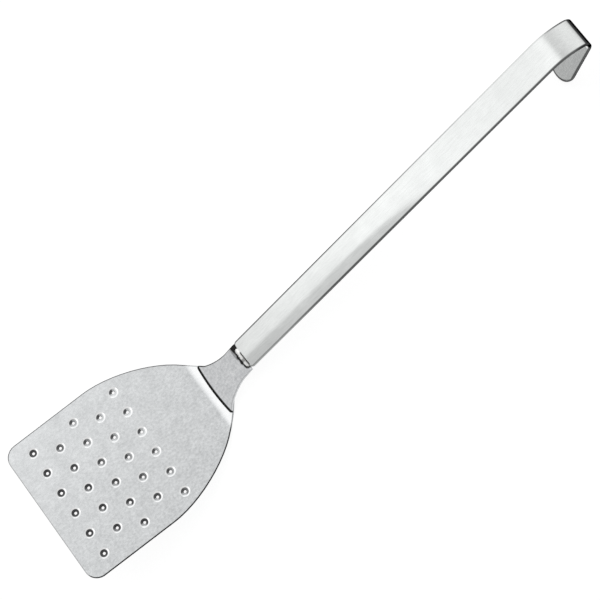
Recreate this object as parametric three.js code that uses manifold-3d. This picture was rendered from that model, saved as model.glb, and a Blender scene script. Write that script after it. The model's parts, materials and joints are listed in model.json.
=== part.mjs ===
// Perforated kitchen turner: a pierced sheet blade, a flared neck plate and a strip handle that
// ends in a hanging hook, welded together. It lies as it does on a worktop, on its heel and the
// tip of its hook. Millimetres, +Z up, +X from the blade towards the hook, +Y to the left.
import * as THREE from 'three';
import { mergeVertices } from 'three/addons/utils/BufferGeometryUtils.js';
import loadManifold from 'manifold-3d';

// Blade: thin sheet with a tongue turned up at the heel
const bladeWidth = 103.5;
const bladeFlatLength = 122.8;
const bladeThickness = 1.2;
const frontCornerRadius = 9;
const shoulderStart = 58;
const shoulderFullness = 0.66;
const heelWidth = 53;
const flareAngle = 45;
const heelBendRadius = 20;
const tongueLength = 16;
const tongueCornerRadius = 3;

// Holes: staggered rows across the blade, their upper rims rolled in
const holeDiameter = 3;
const holeRimRadius = 1;
const holeStep = 16;
const rowStep = 15.5;
const firstRowInset = 16;
const lastRowLimit = 84;
const holeSideMargin = 11.5;

// Neck plate: curled at its front to the heel's bend, flared on the tongue, and with a narrower
// tang under the handle
const neckAngle = 30;
const neckCurl = 15;
const neckLength = 25;
const neckWidth = 20.2;
const neckThickness = 1.6;
const neckCornerRadius = 1.4;
const neckFrontBow = 1.4;
const neckFilletRadius = 28;
const tangBendRadius = 10;
const tangWidth = 15;
const tangLength = 45;
const tangCornerRadius = 3;

// Handle: strip, crowned near the neck, slightly wider at the far end, rolled into a hook
const handleAngle = 20.4;
const handleMouthWidth = 20;
const handleEndWidth = 20.8;
const handleThickness = 2;
const handleLength = 261;
const crownHeight = 1.6;
const crownRun = 80;
const crownFade = 120;
const mouthSetback = 1.2;
const mouthCornerRadius = 2.5;
const hookLeadRadius = 33;
const hookLeadAngle = 40;
const hookRadius = 5.5;
const hookAngle = 146.5;
const hookReturn = 35.3;

// Welds: plugs from below, and a bead over the handle's mouth
const weldHoleDiameter = 5;
const weldRise = 0.35;
const weldMargin = 4.5;
const weldSpread = 16;
const tangWeldInset = 12;
const beadToe = 1.6;
const beadLap = 1.8;
const beadHeight = 0.8;
const beadEdge = 0.3;

// Clearance between pieces that lie on each other
const lapGap = 0.3;

// Facets
const holeSides = 20;
const rimSteps = 3;
const arcStep = 5;
const outlineDivisions = 16;
const crownStations = 12;
const stripDivisions = 8;
const beadDivisions = 16;
const samePoint = 1e-4;

const { degToRad, lerp, smoothstep } = THREE.MathUtils;
const quarterTurn = Math.PI / 2;
const manifold = await loadManifold();
manifold.setup();

// A closed geometry as a solid that can be joined and cut
function solid(geometry) {
  const bare = geometry.clone();
  bare.deleteAttribute('normal');
  bare.deleteAttribute('uv');
  const merged = mergeVertices(bare, samePoint);
  const mesh = new manifold.Mesh({
    numProp: 3,
    vertProperties: new Float32Array(merged.attributes.position.array),
    triVerts: new Uint32Array(merged.index.array),
  });
  return new manifold.Manifold(mesh);
}

// A solid back as a geometry
function geometryOf(body) {
  const mesh = body.getMesh();
  const geometry = new THREE.BufferGeometry();
  geometry.setAttribute('position', new THREE.BufferAttribute(mesh.vertProperties, 3));
  geometry.setIndex(new THREE.BufferAttribute(mesh.triVerts, 1));
  geometry.computeVertexNormals();
  return geometry;
}

// The lower face of a bent strip seen from the side: straight runs and arcs, each arc's radius
// being that of this face. Headings and turns are in degrees, positive upwards.
function sidePath(start, heading, runs) {
  const stations = [{ ...start, heading, run: 0 }];
  for (const { length = 0, steps = 1, radius = 0, turn = 0 } of runs) {
    const pieces = turn ? Math.ceil(Math.abs(turn) / arcStep) : steps;
    const pieceTurn = turn / pieces;
    const arcLength = radius * degToRad(Math.abs(pieceTurn));
    const arcChord = 2 * radius * Math.sin(degToRad(Math.abs(pieceTurn)) / 2);
    const chord = turn ? arcChord : length / pieces;
    for (let i = 0; i < pieces; i += 1) {
      const last = stations.at(-1);
      const along = degToRad(last.heading + pieceTurn / 2);
      stations.push({
        x: last.x + chord * Math.cos(along),
        z: last.z + chord * Math.sin(along),
        heading: last.heading + pieceTurn,
        run: last.run + (turn ? arcLength : chord),
      });
    }
  }
  return stations;
}

// The point at a height above a station, square to the strip
function raised(station, height) {
  const heading = degToRad(station.heading);
  const x = station.x - height * Math.sin(heading);
  const z = station.z + height * Math.cos(heading);
  return { ...station, x, z };
}

// The point a distance further along a station's heading
function further(station, distance) {
  const heading = degToRad(station.heading);
  const x = station.x + distance * Math.cos(heading);
  const z = station.z + distance * Math.sin(heading);
  return { ...station, x, z, run: station.run + distance };
}

// A bent plate of a width, its lower face along the path
function bentPlate(stations, thickness, width) {
  const over = stations.map((station) => raised(station, thickness)).reverse();
  const corners = [...stations, ...over].map(({ x, z }) => new THREE.Vector2(x, z));
  const profile = new THREE.Shape(corners);
  const geometry = new THREE.ExtrudeGeometry(profile, { depth: width, bevelEnabled: false });
  return geometry.rotateX(quarterTurn).translate(0, width / 2, 0);
}

// An upright prism over a plan outline, taller than the turner is long
function planPrism(outline) {
  const depth = 2 * (bladeFlatLength + handleLength);
  const geometry = new THREE.ExtrudeGeometry(outline, { depth, bevelEnabled: false });
  return geometry.translate(0, 0, -depth / 2);
}

// An upright round bar
function roundBar(diameter, length) {
  const radius = diameter / 2;
  return new THREE.CylinderGeometry(radius, radius, length, holeSides).rotateX(quarterTurn);
}

// A closed body through rings of equal counts, each ring running out along one face and back along
// the other, so that its ends close as ladders between the two faces
function loft(rings) {
  const count = rings[0].length;
  const index = [];
  for (let r = 0; r + 1 < rings.length; r += 1) {
    for (let i = 0; i < count; i += 1) {
      const next = (i + 1) % count;
      const [a, b] = [r * count + i, r * count + next];
      index.push(a, a + count, b, b, a + count, b + count);
    }
  }
  const end = (rings.length - 1) * count;
  for (let i = 0; i + 1 < count / 2; i += 1) {
    const [a, b, c, d] = [i, i + 1, count - 2 - i, count - 1 - i];
    index.push(a, b, d, b, c, d);
    index.push(end + a, end + d, end + b, end + b, end + d, end + c);
  }
  const geometry = new THREE.BufferGeometry();
  geometry.setAttribute('position', new THREE.Float32BufferAttribute(rings.flat(2), 3));
  geometry.setIndex(index);
  geometry.computeVertexNormals();
  return geometry;
}

// Side paths, all along lower faces, in the frame of the flat blade lying level
const bladeBend = { radius: heelBendRadius + bladeThickness, turn: neckAngle };
const bladePath = sidePath({ x: 0, z: 0 }, 0, [
  { length: bladeFlatLength },
  bladeBend,
  { length: tongueLength },
]);
const tongueStart = bladePath.at(-2);
const bendPart = { ...bladeBend, turn: neckAngle - neckCurl };
const neckSeat = sidePath({ x: 0, z: 0 }, 0, [{ length: bladeFlatLength }, bendPart]).at(-1);
const neckPath = sidePath(raised(neckSeat, bladeThickness + lapGap), neckSeat.heading, [
  { radius: heelBendRadius - lapGap, turn: neckCurl },
  { length: neckLength },
  { radius: tangBendRadius, turn: handleAngle - neckAngle },
  { length: mouthSetback + tangLength },
]);
const tangStart = further(neckPath.at(-2), mouthSetback);

// The strip's half width, and the crown of its middle over its edges, full near the neck and then
// fading out
function handleHalfAt(run) {
  const fraction = Math.min(run / handleLength, 1);
  return lerp(handleMouthWidth, handleEndWidth, fraction) / 2;
}

function crownAt(run) {
  return crownHeight * (1 - smoothstep(run, crownRun, crownRun + crownFade));
}

// Height of the arch over the strip's edge line at a place across it
function archAt(run, y) {
  return crownAt(run) * (1 - (y / handleHalfAt(run)) ** 2);
}

// The arch bears on the tang's upper corners
const handleSeat = neckThickness + lapGap - archAt(0, tangWidth / 2);
const mouth = raised(tangStart, handleSeat);
const tipRadius = handleEndWidth / 2;
const cornerSteps = Math.round(90 / (2 * arcStep));
const handlePath = sidePath(mouth, handleAngle, [
  { length: crownRun },
  { length: crownFade, steps: crownStations },
  { length: handleLength - crownRun - crownFade },
  { radius: hookLeadRadius, turn: -hookLeadAngle },
  { radius: hookRadius, turn: hookLeadAngle - hookAngle },
  { length: hookReturn - tipRadius },
]);

// The plan outline from the heel to the neck: the flare's straight, then a fillet into the neck
const bladeHalf = bladeWidth / 2;
const heelHalf = heelWidth / 2;
const neckHalf = neckWidth / 2;
const tangHalf = tangWidth / 2;
const flare = degToRad(flareAngle);
const flareMeet = bladeFlatLength + (heelHalf - neckHalf) / Math.tan(flare);
const filletEnd = flareMeet + neckFilletRadius * Math.tan(flare / 2);
const filletStart = filletEnd - neckFilletRadius * Math.sin(flare);

function neckHalfAt(x) {
  if (x >= filletEnd) {
    return neckHalf;
  }
  if (x >= filletStart) {
    return neckHalf + neckFilletRadius - Math.sqrt(neckFilletRadius ** 2 - (filletEnd - x) ** 2);
  }
  return heelHalf - (x - bladeFlatLength) * Math.tan(flare);
}

function drawNeckSide(path, from, to) {
  for (let i = 0; i <= outlineDivisions; i += 1) {
    const x = lerp(from, to, i / outlineDivisions);
    path.lineTo(x, -neckHalfAt(x));
  }
}

function drawShoulder(path) {
  const cornerX = bladeFlatLength - (bladeHalf - heelHalf) / Math.tan(flare);
  const firstX = lerp(shoulderStart, cornerX, shoulderFullness);
  const secondX = lerp(bladeFlatLength, cornerX, shoulderFullness);
  const secondY = lerp(heelHalf, bladeHalf, shoulderFullness);
  path.lineTo(shoulderStart, -bladeHalf);
  path.bezierCurveTo(firstX, -bladeHalf, secondX, -secondY, bladeFlatLength, -heelHalf);
}

// A square end of a half width with rounded corners
function drawEnd(path, end, half, radius) {
  path.lineTo(end - radius, -half);
  path.absarc(end - radius, radius - half, radius, -quarterTurn, 0, false);
  path.lineTo(end, 0);
}

// Half an outline is drawn on the right, and its points are mirrored for the left
function mirroredOutline(path) {
  const right = path.getPoints(outlineDivisions);
  const left = right.map((point) => new THREE.Vector2(point.x, -point.y)).reverse();
  const outline = [...right, ...left].filter(
    (point, i, all) => point.distanceTo(all[(i + 1) % all.length]) > samePoint,
  );
  return new THREE.Shape(outline);
}

function bladeOutline() {
  const end = bladePath.at(-1).x;
  const sideEnd = end - tongueCornerRadius;
  const cornerY = frontCornerRadius - bladeHalf;
  const path = new THREE.Path();
  path.moveTo(0, 0);
  path.lineTo(0, cornerY);
  path.absarc(frontCornerRadius, cornerY, frontCornerRadius, -Math.PI, -quarterTurn, false);
  drawShoulder(path);
  drawNeckSide(path, bladeFlatLength, sideEnd);
  drawEnd(path, end, neckHalfAt(sideEnd), tongueCornerRadius);
  return mirroredOutline(path);
}

// The neck's front edge bows forward, and its corners are the sharp ends of the flare, rounded off
function neckOutline() {
  const front = raised(neckPath[0], neckThickness).x;
  const shoulder = mouth.x - 2 * lapGap;
  const cornerX = front + neckFrontBow;
  const cornerHalf = neckHalfAt(cornerX);
  const cornerReach = neckCornerRadius / Math.tan((quarterTurn - flare) / 2);
  const flareX = cornerX + cornerReach * Math.cos(flare);
  const path = new THREE.Path();
  path.moveTo(front, 0);
  for (let i = 1; i <= outlineDivisions; i += 1) {
    const y = lerp(0, cornerHalf - cornerReach, i / outlineDivisions);
    path.lineTo(front + neckFrontBow * (y / cornerHalf) ** 2, -y);
  }
  path.quadraticCurveTo(cornerX, -cornerHalf, flareX, -neckHalfAt(flareX));
  drawNeckSide(path, flareX, shoulder);
  path.lineTo(shoulder, -tangHalf);
  drawEnd(path, neckPath.at(-1).x, tangHalf, tangCornerRadius);
  return mirroredOutline(path);
}

// Where the plug welds stand: on the tongue, and on the tang
const tongueWelds = [
  { name: 'blade_weld_right', along: weldMargin, y: -weldSpread / 2 },
  { name: 'blade_weld_left', along: weldMargin, y: weldSpread / 2 },
  { name: 'blade_weld_rear', along: tongueLength - weldMargin, y: 0 },
];
const tangWelds = [
  { name: 'tang_weld_front', along: tangWeldInset, y: 0 },
  { name: 'tang_weld_rear', along: tangLength - tangWeldInset, y: 0 },
];

// A bar through a plate, square to it, at a weld's place
function weldBore(station, weld, thickness) {
  const place = further(station, weld.along);
  const bar = roundBar(weldHoleDiameter, 4 * thickness);
  return solid(bar.rotateY(-degToRad(station.heading)).translate(place.x, weld.y, place.z));
}

// What the piercing takes out of the blade: a round hole that widens over its rolled rim
function holeCutter() {
  const radius = holeDiameter / 2;
  const profile = [new THREE.Vector2(0, -bladeThickness), new THREE.Vector2(radius, -bladeThickness)];
  for (let i = 0; i <= rimSteps; i += 1) {
    const turn = (quarterTurn * i) / rimSteps;
    const out = radius + holeRimRadius * (1 - Math.cos(turn));
    profile.push(new THREE.Vector2(out, bladeThickness - holeRimRadius * (1 - Math.sin(turn))));
  }
  profile.push(new THREE.Vector2(radius + holeRimRadius, 2 * bladeThickness));
  profile.push(new THREE.Vector2(0, 2 * bladeThickness));
  return new THREE.LatheGeometry(profile, holeSides).rotateX(quarterTurn);
}

function bladeGeometry() {
  let body = solid(bentPlate(bladePath, bladeThickness, 2 * bladeWidth));
  body = body.intersect(solid(planPrism(bladeOutline())));
  const across = Math.floor((bladeWidth - 2 * holeSideMargin) / holeStep);
  const rows = Math.floor((lastRowLimit - firstRowInset) / rowStep);
  for (let row = 0; row <= rows; row += 1) {
    const steps = across - (row % 2);
    for (let i = 0; i <= steps; i += 1) {
      const cutter = holeCutter();
      cutter.translate(firstRowInset + row * rowStep, (i - steps / 2) * holeStep, 0);
      body = body.subtract(solid(cutter));
    }
  }
  for (const weld of tongueWelds) {
    body = body.subtract(weldBore(tongueStart, weld, bladeThickness));
  }
  return geometryOf(body);
}

function neckGeometry() {
  let body = solid(bentPlate(neckPath, neckThickness, 2 * heelWidth));
  body = body.intersect(solid(planPrism(neckOutline())));
  for (const weld of tangWelds) {
    body = body.subtract(weldBore(tangStart, weld, neckThickness));
  }
  return geometryOf(body);
}

// One ring of the strip: its upper face from right to left, then its lower face back
function stripRing(station, half) {
  const over = [];
  const under = [];
  for (let i = 0; i <= stripDivisions; i += 1) {
    const y = lerp(-half, half, i / stripDivisions);
    const arch = archAt(station.run, y);
    const top = raised(station, handleThickness + arch);
    const bottom = raised(station, arch);
    over.push([top.x, y, top.z]);
    under.unshift([bottom.x, y, bottom.z]);
  }
  return [...over, ...under];
}

// The strip's mouth has rounded corners, and its tip is a full round
function handleGeometry() {
  const rings = [];
  for (let i = 0; i <= cornerSteps; i += 1) {
    const turn = (quarterTurn * i) / cornerSteps;
    const station = further(handlePath[0], mouthCornerRadius * (1 - Math.cos(turn)));
    const inset = mouthCornerRadius * (1 - Math.sin(turn));
    rings.push(stripRing(station, handleHalfAt(station.run) - inset));
  }
  for (const station of handlePath.slice(1)) {
    rings.push(stripRing(station, handleHalfAt(station.run)));
  }
  for (let i = 1; i < cornerSteps; i += 1) {
    const turn = (quarterTurn * i) / cornerSteps;
    const station = further(handlePath.at(-1), tipRadius * Math.sin(turn));
    rings.push(stripRing(station, tipRadius * Math.cos(turn)));
  }
  return loft(rings);
}

// The bead lies in the corner before the strip's end and laps over its upper edge
function mouthWeldGeometry() {
  const half = handleMouthWidth / 2 - mouthCornerRadius;
  const neckFall = Math.tan(degToRad(neckAngle - handleAngle));
  const tangFace = neckThickness + lapGap - handleSeat;
  const foot = tangFace - Math.max(0, beadToe - mouthSetback) * neckFall;
  const rings = [];
  for (let i = 0; i <= beadDivisions; i += 1) {
    const y = lerp(half, -half, i / beadDivisions);
    const top = handleThickness + archAt(0, y) + lapGap;
    const outer = [
      [-beadToe, foot],
      [-beadToe, (foot + top) / 2],
      [-beadToe / 2, top + beadHeight / 2],
      [0, top + beadHeight],
      [beadLap / 2, top + beadHeight],
      [beadLap, top + beadEdge],
    ];
    const inner = [
      [beadLap, top],
      [beadLap / 2, top],
      [-lapGap, top],
      [-lapGap, lerp(top, tangFace, 1 / 3)],
      [-lapGap, lerp(top, tangFace, 2 / 3)],
      [-lapGap, tangFace],
    ];
    const ring = [...outer, ...inner].map(([along, height]) => {
      const point = raised(further(mouth, along), height);
      return [point.x, y, point.z];
    });
    rings.push(ring);
  }
  return loft(rings);
}

// A plug of weld metal, round and slightly domed below, its middle line along Z
function plugGeometry(height) {
  const radius = weldHoleDiameter / 2 - lapGap;
  const profile = [
    new THREE.Vector2(0, -weldRise),
    new THREE.Vector2(radius / 2, -weldRise),
    new THREE.Vector2(radius, 0),
    new THREE.Vector2(radius, height),
    new THREE.Vector2(0, height),
  ];
  return new THREE.LatheGeometry(profile, holeSides).rotateX(quarterTurn);
}

function steel(colour, roughness) {
  return new THREE.MeshStandardMaterial({ color: colour, roughness, metalness: 1 });
}

function piece(name, geometry, material) {
  const mesh = new THREE.Mesh(geometry, material);
  mesh.name = name;
  return mesh;
}

function weldPlug(weld, station, height) {
  const place = further(station, weld.along);
  const mesh = piece(weld.name, plugGeometry(height), steel(0x8f8c86, 0.5));
  mesh.position.set(place.x, weld.y, place.z);
  mesh.rotation.y = -degToRad(station.heading);
  return mesh;
}

// The turner with its blade level
const turner = new THREE.Group();
turner.add(piece('blade', bladeGeometry(), steel(0xd4d5d6, 0.36)));
turner.add(piece('neck', neckGeometry(), steel(0xc4c5c6, 0.38)));
turner.add(piece('handle', handleGeometry(), steel(0xdedfdf, 0.3)));
turner.add(piece('mouth_weld', mouthWeldGeometry(), steel(0xb4b2ad, 0.42)));
for (const weld of tongueWelds) {
  turner.add(weldPlug(weld, tongueStart, bladeThickness));
}
for (const weld of tangWelds) {
  turner.add(weldPlug(weld, tangStart, handleSeat + crownAt(weld.along) - lapGap));
}

// Set down, it rocks back on the heel's bend until the hook's tip touches the worktop
const heel = { x: bladeFlatLength, z: bladeBend.radius };
const handlePoints = turner.getObjectByName('handle').geometry.attributes.position;
let lean = quarterTurn;
for (let i = 0; i < handlePoints.count; i += 1) {
  const [ahead, above] = [handlePoints.getX(i) - heel.x, handlePoints.getZ(i) - heel.z];
  const touching = Math.atan2(above, ahead) + Math.asin(bladeBend.radius / Math.hypot(ahead, above));
  lean = Math.min(lean, touching);
}
turner.rotation.y = lean;
turner.updateMatrixWorld(true);
const box = new THREE.Box3().setFromObject(turner, true);
const middle = box.getCenter(new THREE.Vector3());
turner.position.set(-middle.x, -middle.y, -box.min.z);

const assembly = new THREE.Group();
assembly.add(turner);
export default assembly;
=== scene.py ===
import json
import math

import bmesh
import bpy
from mathutils import Matrix, Vector, noise


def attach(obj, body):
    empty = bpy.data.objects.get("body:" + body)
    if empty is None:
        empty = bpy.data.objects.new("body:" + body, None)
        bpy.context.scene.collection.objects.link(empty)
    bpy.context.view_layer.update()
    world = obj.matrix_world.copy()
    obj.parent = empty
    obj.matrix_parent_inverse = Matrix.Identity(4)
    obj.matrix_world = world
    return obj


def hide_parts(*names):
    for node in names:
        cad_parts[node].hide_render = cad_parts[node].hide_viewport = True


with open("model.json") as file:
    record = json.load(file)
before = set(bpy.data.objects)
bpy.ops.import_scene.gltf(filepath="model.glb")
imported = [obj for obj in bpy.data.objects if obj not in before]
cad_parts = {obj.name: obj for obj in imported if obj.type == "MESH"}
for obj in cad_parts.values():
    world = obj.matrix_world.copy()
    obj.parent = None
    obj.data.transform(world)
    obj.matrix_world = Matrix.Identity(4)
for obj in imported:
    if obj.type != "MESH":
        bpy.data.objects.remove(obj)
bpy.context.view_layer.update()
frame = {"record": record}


# Blade. A blank of thin stainless sheet, sheared to its outline and rolled up at the heel into a
# tongue that carries the neck plate. Its drain holes are pierced from above, so each sits in a
# shallow dish and its rim rolls in; the rims are darkened with painted shade. The faces are sanded
# and a little cloudy.
BLADE_HALF = 51.75
BLADE_FLAT = 122.8
BLADE_THICK = 1.2
FRONT_CORNER = 9.0
FLARE_START = 97.55
SHOULDER_ROUND = 35.6
HEEL_HALF = 26.5
HEEL_RADIUS = 21.2
HEEL_CUTS = 20
NECK_ANGLE = math.radians(30)
HEEL_ARC = HEEL_RADIUS * NECK_ANGLE
TONGUE = 16.0
TONGUE_START = BLADE_FLAT + HEEL_ARC
TONGUE_END = TONGUE_START + TONGUE
TONGUE_MEET = 140.6
TONGUE_FILLET = 6.0
TONGUE_CORNER = 2.0
NECK_HALF = 10.1
SHEAR_ROUND = 0.4
SHEAR_MARGIN = 0.75
# The dark sheared material, partly painted shade, goes only on cut faces between these runs, so the
# front and tongue edges stay lighter.
SHEARED_FROM = 1.0
SHEARED_TO = BLADE_FLAT + 2.0
HOLE_RADIUS = 0.95
HOLE_RIM = 0.85
RIM_RADIUS = 2.45
DISH_RADIUS = 3.45
DISH_DEPTH = 0.27
CREASE = 0.15  # a narrow ring outside each fold of the dish, which keeps the fold crisp
HOLE_STEP = 16.0
ROW_STEP = 15.5
FIRST_ROW = 16.0
ROWS = 5
LONG_ROW = 6
PLUG_HOLE = 2.5
TONGUE_PLUGS = {
    "blade_weld_right": (4.5, -8.0),
    "blade_weld_left": (4.5, 8.0),
    "blade_weld_rear": (11.5, 0.0),
}
LENGTHWAYS = Vector((1, 0, 0))
CROSSWAYS = Vector((0, 1, 0))


def linear(hex_colour):
    """An sRGB hex colour as linear RGBA."""
    parts = [int(hex_colour[i:i + 2], 16) / 255 for i in (1, 3, 5)]
    return [c / 12.92 if c <= 0.04045 else ((c + 0.055) / 1.055) ** 2.4 for c in parts] + [1.0]


def add_node(tree, kind, settings=None, links=None):
    """Adds a node, sets its properties or unlinked sockets, and links sockets to other outputs."""
    node = tree.nodes.new(kind)
    for key, value in (settings or {}).items():
        if isinstance(key, str) and hasattr(node, key):
            setattr(node, key, value)
        else:
            node.inputs[key].default_value = value
    for key, output in (links or {}).items():
        tree.links.new(output, node.inputs[key])
    return node


def new_material(name):
    """An empty node material and its tree."""
    material = bpy.data.materials.new(name)
    material.use_nodes = True
    material.node_tree.nodes.clear()
    return material, material.node_tree


# The near-white that painted highlights mix towards.
HIGHLIGHT_WHITE = "#fcfcfc"
NOISE_RANGE = (0.3, 0.7)  # where a noise texture's values mostly lie


def steel(name, dark, pale, shade_and_oxide, cloud_mm, grain_mm, streak, fine, smooth, rough, relief_mm):
    """Stainless steel: clouds of tone under a grain that runs along the piece.

    Its vertex attribute darkens it where above 0, mostly as painted shade and in places as real
    oxide, and paints a highlight on it where below.
    """
    material, tree = new_material(name)
    place = add_node(tree, "ShaderNodeTexCoord").outputs["Object"]
    clouds = add_node(tree, "ShaderNodeTexNoise",
                      {"Scale": 1000 / cloud_mm, "Detail": 4.0, "Roughness": 0.6},
                      {"Vector": place})
    drawn = add_node(tree, "ShaderNodeMapping", {"Scale": (1 / streak, 1, 1)}, {"Vector": place})
    grain = add_node(tree, "ShaderNodeTexNoise",
                     {"Scale": 1000 / grain_mm, "Detail": 2.0, "Roughness": 0.5},
                     {"Vector": drawn.outputs[0]})
    both = add_node(tree, "ShaderNodeMix", {"data_type": "FLOAT", 0: fine},
                    {2: clouds.outputs["Fac"], 3: grain.outputs["Fac"]})
    tone = add_node(tree, "ShaderNodeValToRGB", links={"Fac": both.outputs[0]})
    for stop, place_on_ramp, colour in zip(tone.color_ramp.elements, NOISE_RANGE, (dark, pale)):
        stop.position = place_on_ramp
        stop.color = linear(colour)
    shade_level = add_node(tree, "ShaderNodeAttribute", {"attribute_name": "shade_and_dullness"}).outputs["Fac"]
    # Painted highlight: below 0 the attribute mixes the colour towards near-white.
    highlight_amount = add_node(tree, "ShaderNodeMath", {"operation": "MULTIPLY", 1: -1.0, "use_clamp": True},
                      {0: shade_level})
    highlighted = add_node(tree, "ShaderNodeMix", {"data_type": "RGBA", 7: linear(HIGHLIGHT_WHITE)},
                     {0: highlight_amount.outputs[0], 6: tone.outputs[0]})
    # Painted shade, and real oxide in places: above 0 the attribute darkens the colour and the
    # specular tint.
    colour = add_node(tree, "ShaderNodeMix", {"data_type": "RGBA", 7: linear(shade_and_oxide)},
                      {0: shade_level, 6: highlighted.outputs[2]})
    edge_on = add_node(tree, "ShaderNodeMix",
                       {"data_type": "RGBA", 6: (1, 1, 1, 1), 7: linear(shade_and_oxide)}, {0: shade_level})
    gloss = add_node(tree, "ShaderNodeMapRange",
                     {"From Min": NOISE_RANGE[0], "From Max": NOISE_RANGE[1],
                      "To Min": smooth, "To Max": rough}, {"Value": grain.outputs["Fac"]})
    relief = add_node(tree, "ShaderNodeBump", {"Strength": 0.2, "Distance": relief_mm / 1000},
                      {"Height": both.outputs[0]})
    shader = add_node(tree, "ShaderNodeBsdfPrincipled", {"Metallic": 1.0},
                      {"Base Color": colour.outputs[2], "Specular Tint": edge_on.outputs[2],
                       "Roughness": gloss.outputs[0], "Normal": relief.outputs[0]})
    add_node(tree, "ShaderNodeOutputMaterial", links={"Surface": shader.outputs[0]})
    return material


def sheet_blank(corners, holes, thickness, margins):
    """A flat blank with corners (x, y, rounding) down its right side, mirrored on its left.

    A hole is (x, y, radii), the radii of its rings from the widest to the throat. Margins run
    round the edge, one inside the other.
    """
    bm = bmesh.new()
    left = [(x, -y, reach) for x, y, reach in reversed(corners)]
    outline = [(bm.verts.new((x, y, 0)), reach) for x, y, reach in corners + left]
    bm.faces.new([vert for vert, _ in outline])
    for vert, reach in outline:
        if reach:
            bmesh.ops.bevel(bm, geom=[vert], offset=reach, segments=12, profile=0.5,
                            affect="VERTICES", material=-1)
    face = bm.faces[:][0]
    for margin in margins:
        bmesh.ops.inset_region(bm, faces=[face], thickness=margin, use_boundary=True,
                               use_even_offset=True)
    within = face.edges[:]
    if holes:
        bmesh.ops.delete(bm, geom=[face], context="FACES_ONLY")
    rims = []
    for x, y, radii in holes:
        known = set(bm.edges)
        bmesh.ops.create_circle(bm, radius=radii[0], segments=32,
                                matrix=Matrix.Translation((x, y, 0)))
        rims.append([edge for edge in bm.edges if edge not in known])
    if holes:
        around = within + [edge for rim in rims for edge in rim]
        bmesh.ops.triangle_fill(bm, edges=around, use_beauty=True, normal=(0, 0, 1))
    for (x, y, radii), rim in zip(holes, rims):
        for outer, inner in zip(radii, radii[1:]):
            grown = bmesh.ops.extrude_edge_only(bm, edges=rim)["geom"]
            ring = [part for part in grown if isinstance(part, bmesh.types.BMVert)]
            rim = [part for part in grown if isinstance(part, bmesh.types.BMEdge)
                   and part.verts[0] in ring and part.verts[1] in ring]
            bmesh.ops.scale(bm, vec=(inner / outer, inner / outer, 1), verts=ring,
                            space=Matrix.Translation((-x, -y, 0)))
    raised = bmesh.ops.extrude_face_region(bm, geom=bm.faces[:])["geom"]
    lifted = [part for part in raised if isinstance(part, bmesh.types.BMVert)]
    bmesh.ops.translate(bm, verts=lifted, vec=(0, 0, thickness))
    bmesh.ops.recalc_face_normals(bm, faces=bm.faces[:])
    return bm


SQUARE_EDGE = math.radians(69)  # two faces that meet at more than this are cut, not bent


def round_edges(bm, radius, segments, wanted):
    """Rounds the square edges whose middles pass the test."""
    edges = [edge for edge in bm.edges
             if len(edge.link_faces) == 2 and edge.calc_face_angle() > SQUARE_EDGE
             and wanted((edge.verts[0].co + edge.verts[1].co) / 2)]
    bmesh.ops.bevel(bm, geom=edges, offset=radius, segments=segments, profile=0.5,
                    affect="EDGES", material=-1, clamp_overlap=True)


def score(bm, axis, stations):
    """Cuts the mesh across an axis at each station, so that it can bend there."""
    for station in stations:
        bmesh.ops.bisect_plane(bm, geom=bm.verts[:] + bm.edges[:] + bm.faces[:], dist=1e-5,
                               plane_co=axis * station, plane_no=axis)


def ramp(value, start, end):
    """A smooth step from 0 at start to 1 at end."""
    share = min(max((value - start) / (end - start), 0), 1)
    return share * share * (3 - 2 * share)


FLAT_FACE = 0.99  # the rise of a face's normal over which it is the sheet's face, not its edge


def set_shade_and_dullness(bm, amount):
    """Marks each vertex from -1, a painted highlight, through 0, as finished, to 1, darkest, which
    is mostly painted shade and in places real oxide.
    """
    layer = bm.verts.layers.float.new("shade_and_dullness")
    for vert in bm.verts:
        on_edge = any(abs(face.normal.z) < FLAT_FACE for face in vert.link_faces)
        vert[layer] = amount(vert.co, on_edge)


def roll(bm, start, heading, runs):
    """Bends a blank along straight runs (length,) and arcs (radius of the face z = 0, turn)."""
    for vert in bm.verts:
        left, height = vert.co.x, vert.co.z
        x, z, way = start[0], start[1], heading
        for run in runs:
            length = run[0] * abs(run[1]) if len(run) == 2 else run[0]
            step = left if run is runs[-1] else min(left, length)
            if len(run) == 2:
                turn = math.copysign(step / run[0], run[1])
                side = math.copysign(run[0], run[1])
                x += side * (math.sin(way + turn) - math.sin(way))
                z += side * (math.cos(way) - math.cos(way + turn))
                way += turn
            else:
                x += step * math.cos(way)
                z += step * math.sin(way)
            left -= step
            if left <= 0:
                break
        vert.co.x = x - height * math.sin(way)
        vert.co.z = z + height * math.cos(way)


# It lies as set down: the flat face that the record names under the blade, 100 mm behind the front
# edge, gives the blade's lean and place.
FACE_INSET = 100.0
under = next(mount for mount in frame["record"]["mounts"] if mount["name"] == "blade_underside")
lean = math.atan2(-under["axis"][0], -under["axis"][2])
set_down = (Matrix.Translation(under["pos_m"]) @ Matrix.Rotation(lean, 4, "Y")
            @ Matrix.Scale(0.001, 4) @ Matrix.Translation((-FACE_INSET, 0, 0)))


def make_piece(bm, name, materials, slot, *nodes):
    """Sets a mesh in millimetres down in its place as a piece that stands for CAD nodes."""
    bm.transform(set_down)
    mesh = bpy.data.meshes.new(name)
    for face in bm.faces:
        face.smooth = True
    bm.to_mesh(mesh)
    bm.free()
    for material in materials:
        mesh.materials.append(material)
    mesh.set_sharp_from_angle(angle=math.radians(50))
    piece = bpy.data.objects.new(name, mesh)
    bpy.context.scene.collection.objects.link(piece)
    flat = piece.modifiers.new("flat_faces", "WEIGHTED_NORMAL")
    flat.keep_sharp = True
    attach(piece, "root")
    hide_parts(*nodes)


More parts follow.
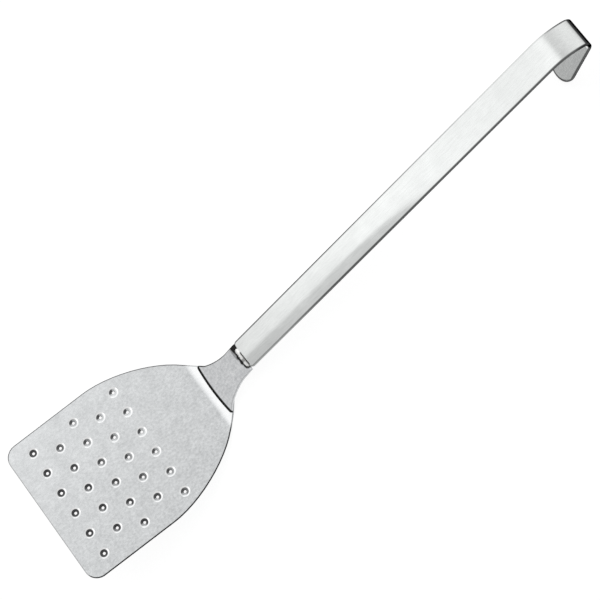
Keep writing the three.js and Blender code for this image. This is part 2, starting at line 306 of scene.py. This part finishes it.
# Sheared stainless: torn, dull metal along the cut edges, painted far darker than the sanded faces
# as shade for the dark reflections along them. Its tear lines are finer than a pixel, so they are
# drawn 1.5 mm apart.
sheared = steel("sheared_stainless", "#343435", "#5c5c5d", "#2a2a2b", cloud_mm=4.0, grain_mm=1.5,
                streak=1.0, fine=0.6, smooth=0.35, rough=0.5, relief_mm=0.05)
# Sanded stainless sheet: pale and cloudy, with a fine mottle. The grit is far finer than a pixel,
# so the mottle is drawn 1.4 mm wide.
blade_steel = steel("sanded_stainless_sheet", "#c8cacb", "#e5e7e8", "#363637", cloud_mm=9.0,
                    grain_mm=1.4, streak=1.3, fine=0.6, smooth=0.14, rough=0.21, relief_mm=0.006)
drain_holes = []
for row in range(ROWS):
    count = LONG_ROW - row % 2
    for i in range(count):
        drain_holes.append((FIRST_ROW + row * ROW_STEP, (i - (count - 1) / 2) * HOLE_STEP))
plug_holes = [(TONGUE_START + run, y) for run, y in TONGUE_PLUGS.values()]
dish_rings = (DISH_RADIUS + CREASE, DISH_RADIUS, RIM_RADIUS + CREASE, RIM_RADIUS, HOLE_RADIUS)
bm = sheet_blank(
    [(0, -BLADE_HALF, FRONT_CORNER), (FLARE_START, -BLADE_HALF, SHOULDER_ROUND),
     (BLADE_FLAT, -HEEL_HALF, 0), (TONGUE_MEET, -NECK_HALF, TONGUE_FILLET),
     (TONGUE_END, -NECK_HALF, TONGUE_CORNER)],
    [(x, y, dish_rings) for x, y in drain_holes] + [(x, y, (PLUG_HOLE,)) for x, y in plug_holes],
    BLADE_THICK, [SHEAR_MARGIN])


def beside(point, places, reach):
    """Whether a point lies within reach of any of the places."""
    return any((point.xy - Vector(place)).length < reach for place in places)


# Painted shade darkens the rims, most in the front row and least at the rear left, with a darker
# crescent on each rim's front left and less on its front right. Painted highlight brightens the
# dish, most at its rear left.
RIM_SHADE = 0.95
RIM_LOSS = 0.8
RIM_SLANT = 0.6
RIM_FADE = (35.0, 95.0)
RIM_LIT_SIDE = Vector((-0.77, -0.64))
RIM_LIT = 0.6
RIM_LIT_FADE = (10.0, 55.0)
RIM_LIT_ARC = (0.2, 0.9)
RIM_SHADED_SIDE = Vector((-0.64, 0.77))
CRESCENT = 0.9
CRESCENT_ARC = (0.4, 0.8)
DISH_BRIGHT = 0.4
DISH_BRIGHTER = 0.6
BRIGHT_ARC = (0.0, 0.7)
# Painted highlight brightens the bend at the heel. Painted shade darkens the cut edges, less at the
# front and on the tongue.
EDGE_SHADE = 0.4
EDGE_SHADE_MORE = 0.6
FRONT_EDGE_SHADE_RISE = (0.5, 1.5)
TONGUE_EDGE_SHADE_FALL = (BLADE_FLAT, BLADE_FLAT + 4.0)
BEND_BRIGHT = 0.5
BEND_FADE = (BLADE_FLAT - 0.2, BLADE_FLAT + 4.0)
RING_SLACK = 0.05
PLUG_SLACK = 0.1


def blade_shade_and_dullness(point, on_edge):
    """Painted shade on edges and rims, at the rear only on their front left; painted highlight on
    dishes and heel bend.
    """
    for x, y in drain_holes:
        away = point.xy - Vector((x, y))
        outwards = away.normalized()
        if point.z < BLADE_THICK / 2 and away.length > HOLE_RADIUS + RING_SLACK:
            continue
        if away.length < RIM_RADIUS + RING_SLACK:
            rim_shade_amount = RIM_SHADE - RIM_LOSS * ramp(x + RIM_SLANT * y, *RIM_FADE)
            rim_lit_share = RIM_LIT * ramp(x, *RIM_LIT_FADE) * ramp(outwards.dot(RIM_LIT_SIDE), *RIM_LIT_ARC)
            crescent = CRESCENT * ramp(outwards.dot(RIM_SHADED_SIDE), *CRESCENT_ARC)
            return max(rim_shade_amount * (1 - rim_lit_share), crescent)
        if away.length < DISH_RADIUS + RING_SLACK:
            return -DISH_BRIGHT - DISH_BRIGHTER * ramp(-outwards.dot(RIM_LIT_SIDE), *BRIGHT_ARC)
    if beside(point, plug_holes, PLUG_HOLE + PLUG_SLACK):
        return 0
    # Painted shade on the cut edges, lighter at the front and on the tongue.
    if on_edge:
        edge_shaded = ramp(point.x, *FRONT_EDGE_SHADE_RISE) - ramp(point.x, *TONGUE_EDGE_SHADE_FALL)
        return EDGE_SHADE + EDGE_SHADE_MORE * edge_shaded
    # Painted highlight along the heel bend.
    return -BEND_BRIGHT * ramp(point.x, *BEND_FADE)


def dish_drop(point):
    """How far the dish round a hole lies below the upper face."""
    away = min((point.xy - Vector(place)).length for place in drain_holes)
    return DISH_DEPTH * min(max((DISH_RADIUS - away) / (DISH_RADIUS - RIM_RADIUS), 0), 1)


EDGE_SLACK = 0.2
UNDER_FACE = 0.1  # what lies below this height is the underside, which stays flat
round_edges(bm, HOLE_RIM, segments=5, wanted=lambda middle: middle.z > BLADE_THICK / 2
            and beside(middle, drain_holes, HOLE_RADIUS + EDGE_SLACK))
round_edges(bm, SHEAR_ROUND, segments=3, wanted=lambda middle:
            not beside(middle, drain_holes + plug_holes, PLUG_HOLE + EDGE_SLACK))
for face in bm.faces:
    middle = face.calc_center_median()
    cut = abs(face.normal.z) < FLAT_FACE and not beside(middle, drain_holes, RIM_RADIUS)
    face.material_index = int(cut and SHEARED_FROM < middle.x < SHEARED_TO)
score(bm, LENGTHWAYS, [BLADE_FLAT + HEEL_ARC * i / HEEL_CUTS for i in range(HEEL_CUTS + 1)])
set_shade_and_dullness(bm, blade_shade_and_dullness)
for vert in bm.verts:
    if vert.co.z > UNDER_FACE:
        vert.co.z -= dish_drop(vert.co)
roll(bm, (0, 0), 0, [(BLADE_FLAT,), (HEEL_RADIUS, NECK_ANGLE), (TONGUE,)])
make_piece(bm, "blade_sheet", [blade_steel, sheared], "blade_steel", "blade")


# Neck plate. A thicker stainless blank, curled at the front to the heel's bend and ground to a thin
# lip there, painted dark as shade, flared where it lies on the tongue and waisted towards the
# handle, with a narrow tang that runs on under the handle. Plug welds hold it from below.
NECK_THICK = 1.6
LAP_GAP = 0.3
NECK_CURL = math.radians(15)
CURL_RADIUS = HEEL_RADIUS - BLADE_THICK - LAP_GAP
CURL_ARC = CURL_RADIUS * NECK_CURL
CURL_CUTS = 6
NECK_STRAIGHT = 25.0
HANDLE_ANGLE = math.radians(20.4)
TANG_RADIUS = 10.0
TANG_ARC = TANG_RADIUS * (NECK_ANGLE - HANDLE_ANGLE)
TANG_CUTS = 4
TANG_BEND = CURL_ARC + NECK_STRAIGHT
MOUTH_SETBACK = 1.2
MOUTH_RUN = TANG_BEND + TANG_ARC + MOUTH_SETBACK
TANG_LENGTH = 45.0
TANG_HALF = 7.5
TANG_CORNER = 3.0
NECK_FRONT_HALF = 20.0
NECK_BOW = 1.4
NECK_CORNER = 3.0
NECK_MEET = 12.7
NECK_WAIST = 12.0
NECK_ROUND = 0.45
NECK_MARGIN = 0.75
LIP = 2.3
LIP_DROP = 0.8
LIP_FADE = 0.4
LIP_CUTS = 5
BOW_END = 3.5 * LIP
TANG_PLUGS = {"tang_weld_front": 12.0, "tang_weld_rear": 33.0}


def along(angle):
    """The direction at an angle in the turner's upright middle plane."""
    return Vector((math.cos(angle), math.sin(angle)))


def above(angle):
    """The upward direction square to that angle."""
    return Vector((-math.sin(angle), math.cos(angle)))


heel_middle = Vector((BLADE_FLAT, HEEL_RADIUS))
heel_end = heel_middle - above(NECK_ANGLE) * HEEL_RADIUS
neck_start = heel_middle - above(NECK_ANGLE - NECK_CURL) * CURL_RADIUS
neck_bend = heel_middle - above(NECK_ANGLE) * CURL_RADIUS
neck_end = neck_bend + along(NECK_ANGLE) * NECK_STRAIGHT
# Sanded stainless plate: duller and more mottled than the blade, with painted shade in front of the
# weld. The grit is far finer than a pixel, so the mottle is drawn 1.4 mm wide.
neck_steel = steel("sanded_stainless_plate", "#c8cacc", "#f0f1f2", "#2c2c2b", cloud_mm=5.0,
                   grain_mm=1.4, streak=1.2, fine=0.6, smooth=0.2, rough=0.28, relief_mm=0.015)
tang_holes = [(MOUTH_RUN + run, 0.0) for run in TANG_PLUGS.values()]
shoulder = MOUTH_RUN - 2 * LAP_GAP
bm = sheet_blank(
    [(0, -NECK_FRONT_HALF, NECK_CORNER), (NECK_MEET, -NECK_HALF, NECK_WAIST),
     (shoulder, -NECK_HALF, 0), (shoulder, -TANG_HALF, 0),
     (MOUTH_RUN + TANG_LENGTH, -TANG_HALF, TANG_CORNER)],
    [(x, y, (PLUG_HOLE,)) for x, y in tang_holes], NECK_THICK, [NECK_MARGIN])
# Painted shade of the gap under the weld bead: a ragged dark band across the upper face in front of
# the weld, which narrows to the right, with a scorched fringe of heat tint on the left. Little of
# either shows below.
WELD_SHADE_REACH = 4.1
WELD_SHADE_RAGGED = 0.8
WELD_SHADE_LUMPS = (0.8, 0.6)  # lumps in a millimetre, along and across
WELD_SHADE_SEED = 4.2
WELD_SHADE_NARROWING = 1.0
WELD_SHADE_NARROWS = (2.0, 7.0)
WELD_SHADE_ENDING = 2.5
WELD_SHADE_ENDS = (7.0, 9.0)
WELD_SHADE_EDGE = (-0.4, 0.2)
SCORCH = 0.5
SCORCH_ACROSS = (-1.0, 2.0)
SCORCH_EDGE = (0.5, 1.2)
WELD_SHADE_BELOW = 0.3
BAND_CUTS = 19
BAND_STEP = 0.35
BAND_RUN = 7.0
CROSS_CUTS = 24
CROSS_STEP = 0.8
# Painted shade on the plate's cut edges, dark on the left and faint on the right.
NECK_LEFT_EDGE_SHADE = 1.0
NECK_RIGHT_EDGE_SHADE = 0.15
TOP_SLACK = 0.01


def neck_shade_and_dullness(point, on_edge):
    """Painted shade on the ground lip, the left edge and a ragged band in front of the weld; heat
    tint on a fringe beside it.
    """
    if beside(point, tang_holes, PLUG_HOLE + PLUG_SLACK):
        return 0
    # Painted shade: the thin lip at the front is dark.
    lip_shade = 1 - ramp(point.x, LIP - LIP_FADE, LIP)
    # Painted shade of the gap under the bead, ragged and narrowing to the right; heat tint on its
    # left fringe.
    ragged = noise.noise(Vector((point.x * WELD_SHADE_LUMPS[0], point.y * WELD_SHADE_LUMPS[1], WELD_SHADE_SEED)))
    reach = (WELD_SHADE_REACH + WELD_SHADE_RAGGED * ragged - WELD_SHADE_NARROWING * ramp(-point.y, *WELD_SHADE_NARROWS)
             - WELD_SHADE_ENDING * ramp(-point.y, *WELD_SHADE_ENDS))
    ahead = MOUTH_RUN - point.x
    weld_gap_shade = 1 - ramp(ahead - reach, *WELD_SHADE_EDGE)
    scorched = SCORCH * ramp(point.y, *SCORCH_ACROSS) * (1 - ramp(ahead - reach, *SCORCH_EDGE))
    weld_shade = max(weld_gap_shade, scorched) if ahead > 0 else 0
    if point.z < NECK_THICK / 2:
        weld_shade *= WELD_SHADE_BELOW
    edge = (NECK_LEFT_EDGE_SHADE if point.y > 0 else NECK_RIGHT_EDGE_SHADE) if on_edge else 0
    return max(lip_shade, weld_shade, edge)


round_edges(bm, NECK_ROUND, segments=3, wanted=lambda middle:
            middle.z > NECK_THICK - TOP_SLACK and middle.x < shoulder
            and not beside(middle, tang_holes, PLUG_HOLE + EDGE_SLACK))
score(bm, LENGTHWAYS, [LIP * i / LIP_CUTS for i in range(1, LIP_CUTS + 1)])
score(bm, LENGTHWAYS, [LIP + (CURL_ARC - LIP) * i / CURL_CUTS for i in range(1, CURL_CUTS + 1)])
score(bm, LENGTHWAYS, [TANG_BEND + TANG_ARC * i / TANG_CUTS for i in range(TANG_CUTS + 1)])
score(bm, LENGTHWAYS, [MOUTH_RUN - BAND_RUN + BAND_STEP * i for i in range(BAND_CUTS)])
score(bm, CROSSWAYS, [CROSS_STEP * i for i in range(-CROSS_CUTS, CROSS_CUTS + 1)])
set_shade_and_dullness(bm, neck_shade_and_dullness)
for vert in bm.verts:
    if vert.co.z > NECK_THICK / 2 and vert.co.x < LIP:
        vert.co.z -= LIP_DROP * (1 - vert.co.x / LIP)
    bowed = NECK_BOW * (vert.co.y / NECK_FRONT_HALF) ** 2
    vert.co.x += bowed * (1 - ramp(vert.co.x, LIP, BOW_END))
roll(bm, neck_start, NECK_ANGLE - NECK_CURL,
     [(CURL_RADIUS, NECK_CURL), (NECK_STRAIGHT,), (TANG_RADIUS, HANDLE_ANGLE - NECK_ANGLE),
      (MOUTH_SETBACK + TANG_LENGTH,)])
make_piece(bm, "neck_plate", [neck_steel], "neck_steel", "neck")


# Handle. A stainless strip with a round tip, crowned across its width near the neck so that it
# bears on the tang's edges, flat further up and rolled under at the end into a hanging hook. Its
# faces are brushed along their length, and its edges and the tight roll are darkened with painted
# shade.
HANDLE_THICK = 2.0
HANDLE_STRAIGHT = 261.0
MOUTH_HALF = 10.0
END_HALF = 10.4
END_ROUND = END_HALF - 0.3
CROWN = 1.6
CROWN_RUN = 80.0
CROWN_FADE = 120.0
MOUTH_CORNER = 2.5
LEAD_RADIUS = 33.0
LEAD_TURN = math.radians(40)
HOOK_RADIUS = 5.5
HOOK_TURN = math.radians(106.5)
HOOK_RETURN = 35.3
LEAD_ARC = LEAD_RADIUS * LEAD_TURN
HOOK_ARC = HOOK_RADIUS * HOOK_TURN
HOOK_START = HANDLE_STRAIGHT + LEAD_ARC
RETURN_START = HOOK_START + HOOK_ARC
HANDLE_RUN = RETURN_START + HOOK_RETURN
EDGE_ROUND = 0.7
EDGE_MARGIN = 1.4
EDGE_FADE = 0.4
MOUTH_STATIONS = (0.4, 0.9, 1.4)
STRIP_STEP = 5.0
LEAD_CUTS = 24
HOOK_CUTS = 36
WIDTH_STEP = 1.5
WIDTH_CUTS = 6


def crown_at(run, y):
    """Height of the strip's crown over its edges, which fades out along it."""
    half = MOUTH_HALF + (END_HALF - MOUTH_HALF) * min(max(run / HANDLE_STRAIGHT, 0), 1)
    return CROWN * (1 - ramp(run, CROWN_RUN, CROWN_RUN + CROWN_FADE)) * (1 - (y / half) ** 2)


# Painted shade darkens the tight roll, the mouth's left corner where the bead stops short, and the
# strip a little near the mouth. The left edge is darkened near the neck, the right edge further up,
# and both along the hook, also as painted shade.
ROLL_DARK = 0.98
ROLL_DARKENS = (math.radians(12), math.radians(20))
ROLL_CLEARS = (math.radians(76), math.radians(98))
CORNER_GAP_SHADE = (0.5, 1.3)
CORNER_GAP_SHADE_ACROSS = (4.5, 6.0)
LEFT_EDGE_LOSS = 0.8
LEFT_EDGE_CLEARS = (60.0, 240.0)
RIGHT_EDGE_START = 0.45
RIGHT_EDGE_GAIN = 0.4
RIGHT_EDGE_DARKENS = (10.0, 80.0)
HOOK_EDGE_LOSS = 0.12
# Painted shade also darkens a band just inside the edge on the return and along the left side near
# the neck.
MARGIN_SLACK = 0.1
RETURN_MARGIN = 0.85
RETURN_BLEND = 5.0
RETURN_MARGIN_ACROSS = (-9.0, -6.0)
LEFT_MARGIN = 0.45
LEFT_MARGIN_CLEARS = (30.0, 140.0)
MOUTH_SHADE_MIDDLE = 0.02
MOUTH_SHADE_SIDES = 0.08
MOUTH_SHADE_ACROSS = (1.0, 6.0)
MOUTH_SHADE_CLEARS = (15.0, 60.0)
# The grip is a little darker along its far end, up to the lead bend.
FAR_GRIP_DARK = 0.08
FAR_GRIP_DARK_FROM = (150.0, 255.0)
FAR_GRIP_DARK_TO = (255.0, 272.0)


def handle_shade_and_dullness(point, on_edge):
    """Painted shade where the strip is rolled tight, at its edges and near them, and at the weld's
    left end.
    """
    turned = (point.x - HOOK_START) / HOOK_RADIUS
    rolled = ROLL_DARK * ramp(turned, *ROLL_DARKENS) - ramp(turned, *ROLL_CLEARS)
    weld_gap_shade = (1 - ramp(point.x, *CORNER_GAP_SHADE)) * ramp(point.y, *CORNER_GAP_SHADE_ACROSS)
    left = 1 - LEFT_EDGE_LOSS * ramp(point.x, *LEFT_EDGE_CLEARS)
    right = RIGHT_EDGE_START + RIGHT_EDGE_GAIN * ramp(point.x, *RIGHT_EDGE_DARKENS)
    hooked = ramp(point.x, HANDLE_STRAIGHT, HOOK_START)
    hooked *= 1 - HOOK_EDGE_LOSS * ramp(turned, 0, HOOK_TURN)
    edge = max(left if point.y > 0 else right, hooked) if on_edge else 0
    inset = END_HALF - Vector((max(point.x - HANDLE_RUN + END_HALF, 0), point.y)).length
    near = 1 - ramp(inset, EDGE_MARGIN + MARGIN_SLACK, EDGE_MARGIN + EDGE_FADE - MARGIN_SLACK)
    returned = ramp(point.x, RETURN_START, RETURN_START + RETURN_BLEND)
    return_margin = RETURN_MARGIN * returned * ramp(point.y, *RETURN_MARGIN_ACROSS)
    left_margin = LEFT_MARGIN * (1 - ramp(point.x, *LEFT_MARGIN_CLEARS)) if point.y > 0 else 0
    margin = near * max(return_margin, left_margin)
    mouth_shade = MOUTH_SHADE_MIDDLE + MOUTH_SHADE_SIDES * ramp(abs(point.y), *MOUTH_SHADE_ACROSS)
    mouth_shade *= 1 - ramp(point.x, *MOUTH_SHADE_CLEARS)
    far_grip_darkening = FAR_GRIP_DARK * (ramp(point.x, *FAR_GRIP_DARK_FROM) - ramp(point.x, *FAR_GRIP_DARK_TO))
    return max(rolled, weld_gap_shade, edge, margin, mouth_shade, far_grip_darkening)


tang_start = neck_end + (above(HANDLE_ANGLE) - above(NECK_ANGLE)) * TANG_RADIUS
handle_seat = NECK_THICK + LAP_GAP - crown_at(0, TANG_HALF)
mouth = tang_start + along(HANDLE_ANGLE) * MOUTH_SETBACK + above(HANDLE_ANGLE) * handle_seat
# Brushed stainless strip: brighter and glossier than the plates, with faint streaks along it. The
# brush lines are finer than a pixel, so they are drawn 0.9 mm apart.
handle_steel = steel("brushed_stainless_strip", "#dcdedd", "#edefee", "#3a3a3b", cloud_mm=14.0,
                     grain_mm=0.9, streak=14.0, fine=0.5, smooth=0.11, rough=0.18, relief_mm=0.008)
bm = sheet_blank(
    [(0, -MOUTH_HALF, MOUTH_CORNER), (HANDLE_STRAIGHT, -END_HALF, 0),
     (HANDLE_RUN, -END_HALF, END_ROUND)],
    [], HANDLE_THICK, [EDGE_MARGIN, EDGE_FADE])
round_edges(bm, EDGE_ROUND, segments=4, wanted=lambda middle: True)
score(bm, LENGTHWAYS, MOUTH_STATIONS)
score(bm, LENGTHWAYS, [STRIP_STEP * i for i in range(1, int(HANDLE_STRAIGHT / STRIP_STEP) + 1)])
score(bm, LENGTHWAYS, [HANDLE_STRAIGHT + LEAD_ARC * i / LEAD_CUTS for i in range(LEAD_CUTS + 1)])
score(bm, LENGTHWAYS, [HOOK_START + HOOK_ARC * i / HOOK_CUTS for i in range(1, HOOK_CUTS + 1)])
score(bm, CROSSWAYS, [WIDTH_STEP * i for i in range(-WIDTH_CUTS, WIDTH_CUTS + 1)])
set_shade_and_dullness(bm, handle_shade_and_dullness)
for vert in bm.verts:
    vert.co.z += crown_at(vert.co.x, vert.co.y)
roll(bm, mouth, HANDLE_ANGLE,
     [(HANDLE_STRAIGHT,), (LEAD_RADIUS, -LEAD_TURN), (HOOK_RADIUS, -HOOK_TURN), (HOOK_RETURN,)])
make_piece(bm, "strip_handle", [handle_steel], "handle_steel", "handle")


# Plug welds. Stainless weld metal run into holes from below, three through the tongue into the neck
# plate and two through the tang into the handle, each left as a low domed nugget with a set ripple.
WELD_RISE = 0.35
NUGGET = 2.9
NUGGET_DOME = [(0, 1.0), (0.9, 1.0), (1.2, 0.75), (1.9, 0.8), (2.3, 0.5)]  # radius, share of rise
PLUG_RADIUS = PLUG_HOLE - LAP_GAP
TOE_RISE = 0.08
SKIN = 0.02  # the nugget's rim stands this far off the plate
# As-welded stainless: rippled, faintly straw-tinted metal, brushed off, darkened at its toes with
# painted shade. The fine scale on it is drawn at about its real size, 0.8 mm.
weld_metal = steel("as_welded_stainless", "#ececea", "#fafaf9", "#232321", cloud_mm=2.5,
                   grain_mm=0.8, streak=1.0, fine=0.3, smooth=0.2, rough=0.34, relief_mm=0.1)


def plug_weld(name, foot, angle, y, height):
    """A nugget spun about its middle, its dome below the plate and its stem up through the hole."""
    bm = bmesh.new()
    profile = [(radius, -WELD_RISE * share) for radius, share in NUGGET_DOME]
    profile += [(NUGGET, -TOE_RISE), (NUGGET, -SKIN), (PLUG_RADIUS, -SKIN), (PLUG_RADIUS, height),
                (0, height)]
    verts = [bm.verts.new((r, 0, z)) for r, z in profile]
    edges = [bm.edges.new(pair) for pair in zip(verts, verts[1:])]
    bmesh.ops.spin(bm, geom=verts + edges, cent=(0, 0, 0), axis=(0, 0, 1), angle=2 * math.pi,
                   steps=32, use_merge=True)
    bmesh.ops.remove_doubles(bm, verts=bm.verts[:], dist=1e-4)
    bmesh.ops.recalc_face_normals(bm, faces=bm.faces[:])
    bm.transform(Matrix.Translation((foot.x, y, foot.y)) @ Matrix.Rotation(-angle, 4, "Y"))
    make_piece(bm, name + "_nugget", [weld_metal], "weld_metal", name)


for name, (run, y) in TONGUE_PLUGS.items():
    plug_weld(name, heel_end + along(NECK_ANGLE) * run, NECK_ANGLE, y, BLADE_THICK)
for name, run in TANG_PLUGS.items():
    plug_weld(name, tang_start + along(HANDLE_ANGLE) * (MOUTH_SETBACK + run), HANDLE_ANGLE, 0.0,
              handle_seat + crown_at(run, 0) - LAP_GAP)


# Mouth weld. A hand-run bead of stainless weld metal across the strip's crowned end, which closes
# the arch down to the neck plate. It is uneven, with set ripples and toes darkened with painted
# shade, dull where the run was broken off and taken up again, and it stops short of the left
# corner.
BEAD_LEFT = 5.6
BEAD_RIGHT = -8.2
BEAD_STEPS = 72
BEAD_HALF = 1.75
BEAD_RISE = 0.35
BEAD_SQUARE = 0.6  # below 1 the bead's section bulges from an oval towards a box
BEAD_END = 10  # the higher, the blunter its two ends
BEAD_TIP = 0.02
BEAD_BACK = 0.1
RIPPLES = 11
RIPPLE = 0.06
WANDER = 0.35
WANDER_LUMPS = 0.45  # in a millimetre
WANDER_SEED = 3.7
FRONT_TOE = (-0.8, -0.6)
TOE_RAGGED = 0.35
TOE_LUMPS = 1.1  # in a millimetre
TOE_SEED = 9.1
REAR_TOE = (0.35, 0.5)
REAR_TOE_ENDS = (1.0, 3.0)
BREAK_PLACE = -3.4
BREAK_DULL = 0.6
BREAK_FADE = (0.6, 1.6)
tang_top = NECK_THICK - handle_seat
bm = bmesh.new()
toes = bm.verts.layers.float.new("shade_and_dullness")
ring = bmesh.ops.create_circle(bm, radius=1.0, segments=24,
                               matrix=Matrix.Rotation(math.pi / 2, 4, "X"))["verts"]
section = [Vector([math.copysign(abs(c) ** BEAD_SQUARE, c) for c in vert.co]) for vert in ring]
edges = bm.edges[:]
for i in range(BEAD_STEPS + 1):
    share = i / BEAD_STEPS
    y = BEAD_LEFT + (BEAD_RIGHT - BEAD_LEFT) * share
    if i:
        grown = bmesh.ops.extrude_edge_only(bm, edges=edges)["geom"]
        ring = [part for part in grown if isinstance(part, bmesh.types.BMVert)]
        edges = [part for part in grown if isinstance(part, bmesh.types.BMEdge)
                 and part.verts[0] in ring and part.verts[1] in ring]
    end = math.sqrt(max(1 - (2 * share - 1) ** BEAD_END, BEAD_TIP))
    ripple = 1 + RIPPLE * math.sin(share * 2 * math.pi * RIPPLES)
    wander = WANDER * noise.noise(Vector((y * WANDER_LUMPS, WANDER_SEED, 0)))
    top = HANDLE_THICK + crown_at(0, y) + BEAD_RISE * end * ripple
    for vert, spot in zip(ring, section):
        ahead = spot.x * BEAD_HALF * end * ripple - BEAD_BACK + wander
        up = tang_top + (top - tang_top) * (1 + spot.z) / 2
        point = mouth + along(HANDLE_ANGLE) * ahead + above(HANDLE_ANGLE) * up
        vert.co = Vector((point.x, y, point.y))
        ragged = TOE_RAGGED * noise.noise(Vector((y * TOE_LUMPS, spot.x, TOE_SEED)))
        # Painted shade on the front and rear toes; the broken-off run is dull.
        vert[toes] = max(1 - ramp(spot.x - ragged, *FRONT_TOE),
                         ramp(spot.x, *REAR_TOE) * (1 - ramp(y, *REAR_TOE_ENDS)),
                         BREAK_DULL * (1 - ramp(abs(y - BREAK_PLACE), *BREAK_FADE)))
bmesh.ops.holes_fill(bm, edges=bm.edges[:], sides=0)
bmesh.ops.recalc_face_normals(bm, faces=bm.faces[:])
make_piece(bm, "mouth_bead", [weld_metal], "weld_metal", "mouth_weld")


# Stage: a plain pale floor that the camera and the steel see as white, and that keeps the turner's
# soft shadow.
FLOOR_GLOW = 0.84
FLOOR_HALF = 12.0
floor_material, tree = new_material("white_floor")
rays = add_node(tree, "ShaderNodeLightPath")
seen = add_node(tree, "ShaderNodeMath", {"operation": "MAXIMUM"},
                {0: rays.outputs["Is Camera Ray"], 1: rays.outputs["Is Glossy Ray"]})
seen = add_node(tree, "ShaderNodeMath", {"operation": "MAXIMUM"},
                {0: seen.outputs[0], 1: rays.outputs["Is Transmission Ray"]})
glow = add_node(tree, "ShaderNodeMath", {"operation": "MULTIPLY", 1: FLOOR_GLOW},
                {0: seen.outputs[0]})
white = add_node(tree, "ShaderNodeEmission", {"Color": (1, 1, 1, 1)}, {"Strength": glow.outputs[0]})
matte = add_node(tree, "ShaderNodeBsdfDiffuse", {"Color": linear("#8a8a8a")})
both = add_node(tree, "ShaderNodeAddShader", links={0: white.outputs[0], 1: matte.outputs[0]})
add_node(tree, "ShaderNodeOutputMaterial", links={"Surface": both.outputs[0]})
bm = bmesh.new()
bmesh.ops.create_grid(bm, x_segments=1, y_segments=1, size=FLOOR_HALF)
floor_mesh = bpy.data.meshes.new("floor")
bm.to_mesh(floor_mesh)
bm.free()
floor_mesh.materials.append(floor_material)
floor = bpy.data.objects.new("floor", floor_mesh)
bpy.context.scene.collection.objects.link(floor)


# Light: a soft studio, pale overhead and a little dimmer at the horizon and on the right, with one
# broad soft box over the turner's left side. The camera sees plain white behind the floor. Each
# fade has the direction that it runs in, where it starts and ends, and its levels there.
SOFT_BOX = [
    ((1, -1.5, 0), (-0.31, -0.45), (0.0, 0.44)),
    ((1, 0, 0), (-0.5, -0.36), (0.0, 1.0)),
    ((0, 1, 0), (0.12, 0.24), (0.0, 1.0)),
    ((0, 0, 1), (0.2, 0.5), (0.0, 1.0)),
]
ROOM = [
    ((0, 0, 1), (0.02, 0.62), (0.5, 0.75)),
    ((1, 0, 0), (0.2, 0.95), (0.0, 0.3)),
]
RIGHT_SIDE = [
    ((0, 1, 0), (-0.6, 0.0), (0.78, 1.0)),
]
world = bpy.data.worlds.new("soft_studio")
bpy.context.scene.world = world
world.use_nodes = True
tree = world.node_tree
tree.nodes.clear()
way = add_node(tree, "ShaderNodeTexCoord").outputs["Generated"]
level = None
for joined, fades in (("MULTIPLY", SOFT_BOX), ("ADD", ROOM), ("MULTIPLY", RIGHT_SIDE)):
    for towards, (start, end), (low, high) in fades:
        facing = add_node(tree, "ShaderNodeVectorMath", {"operation": "DOT_PRODUCT", 1: towards},
                          {0: way})
        fade = add_node(tree, "ShaderNodeMapRange",
                        {"interpolation_type": "SMOOTHSTEP", "From Min": start, "From Max": end,
                         "To Min": low, "To Max": high}, {"Value": facing.outputs["Value"]})
        if level is None:
            level = fade
        else:
            level = add_node(tree, "ShaderNodeMath", {"operation": joined},
                             {0: level.outputs[0], 1: fade.outputs[0]})
behind = add_node(tree, "ShaderNodeLightPath")
shown = add_node(tree, "ShaderNodeMix", {"data_type": "FLOAT", 3: 1.0},
                 {0: behind.outputs["Is Camera Ray"], 2: level.outputs[0]})
sky = add_node(tree, "ShaderNodeBackground", {"Color": (1, 1, 1, 1)},
               {"Strength": shown.outputs[0]})
add_node(tree, "ShaderNodeOutputWorld", links={"Surface": sky.outputs[0]})


# Camera: high over the turner's right side, with a long lens, and turned so that the turner lies
# across the frame.
camera_data = bpy.data.cameras.new("camera")
camera_data.lens = 192
camera_data.sensor_width = 36
camera = bpy.data.objects.new("camera", camera_data)
bpy.context.scene.collection.objects.link(camera)
camera.location = (0.42436, -0.68753, 1.76628)
camera.rotation_euler = [math.radians(turn) for turn in (7.9284, 23.7613, -38.4115)]
bpy.context.scene.camera = camera
bpy.context.scene.view_settings.view_transform = "Standard"
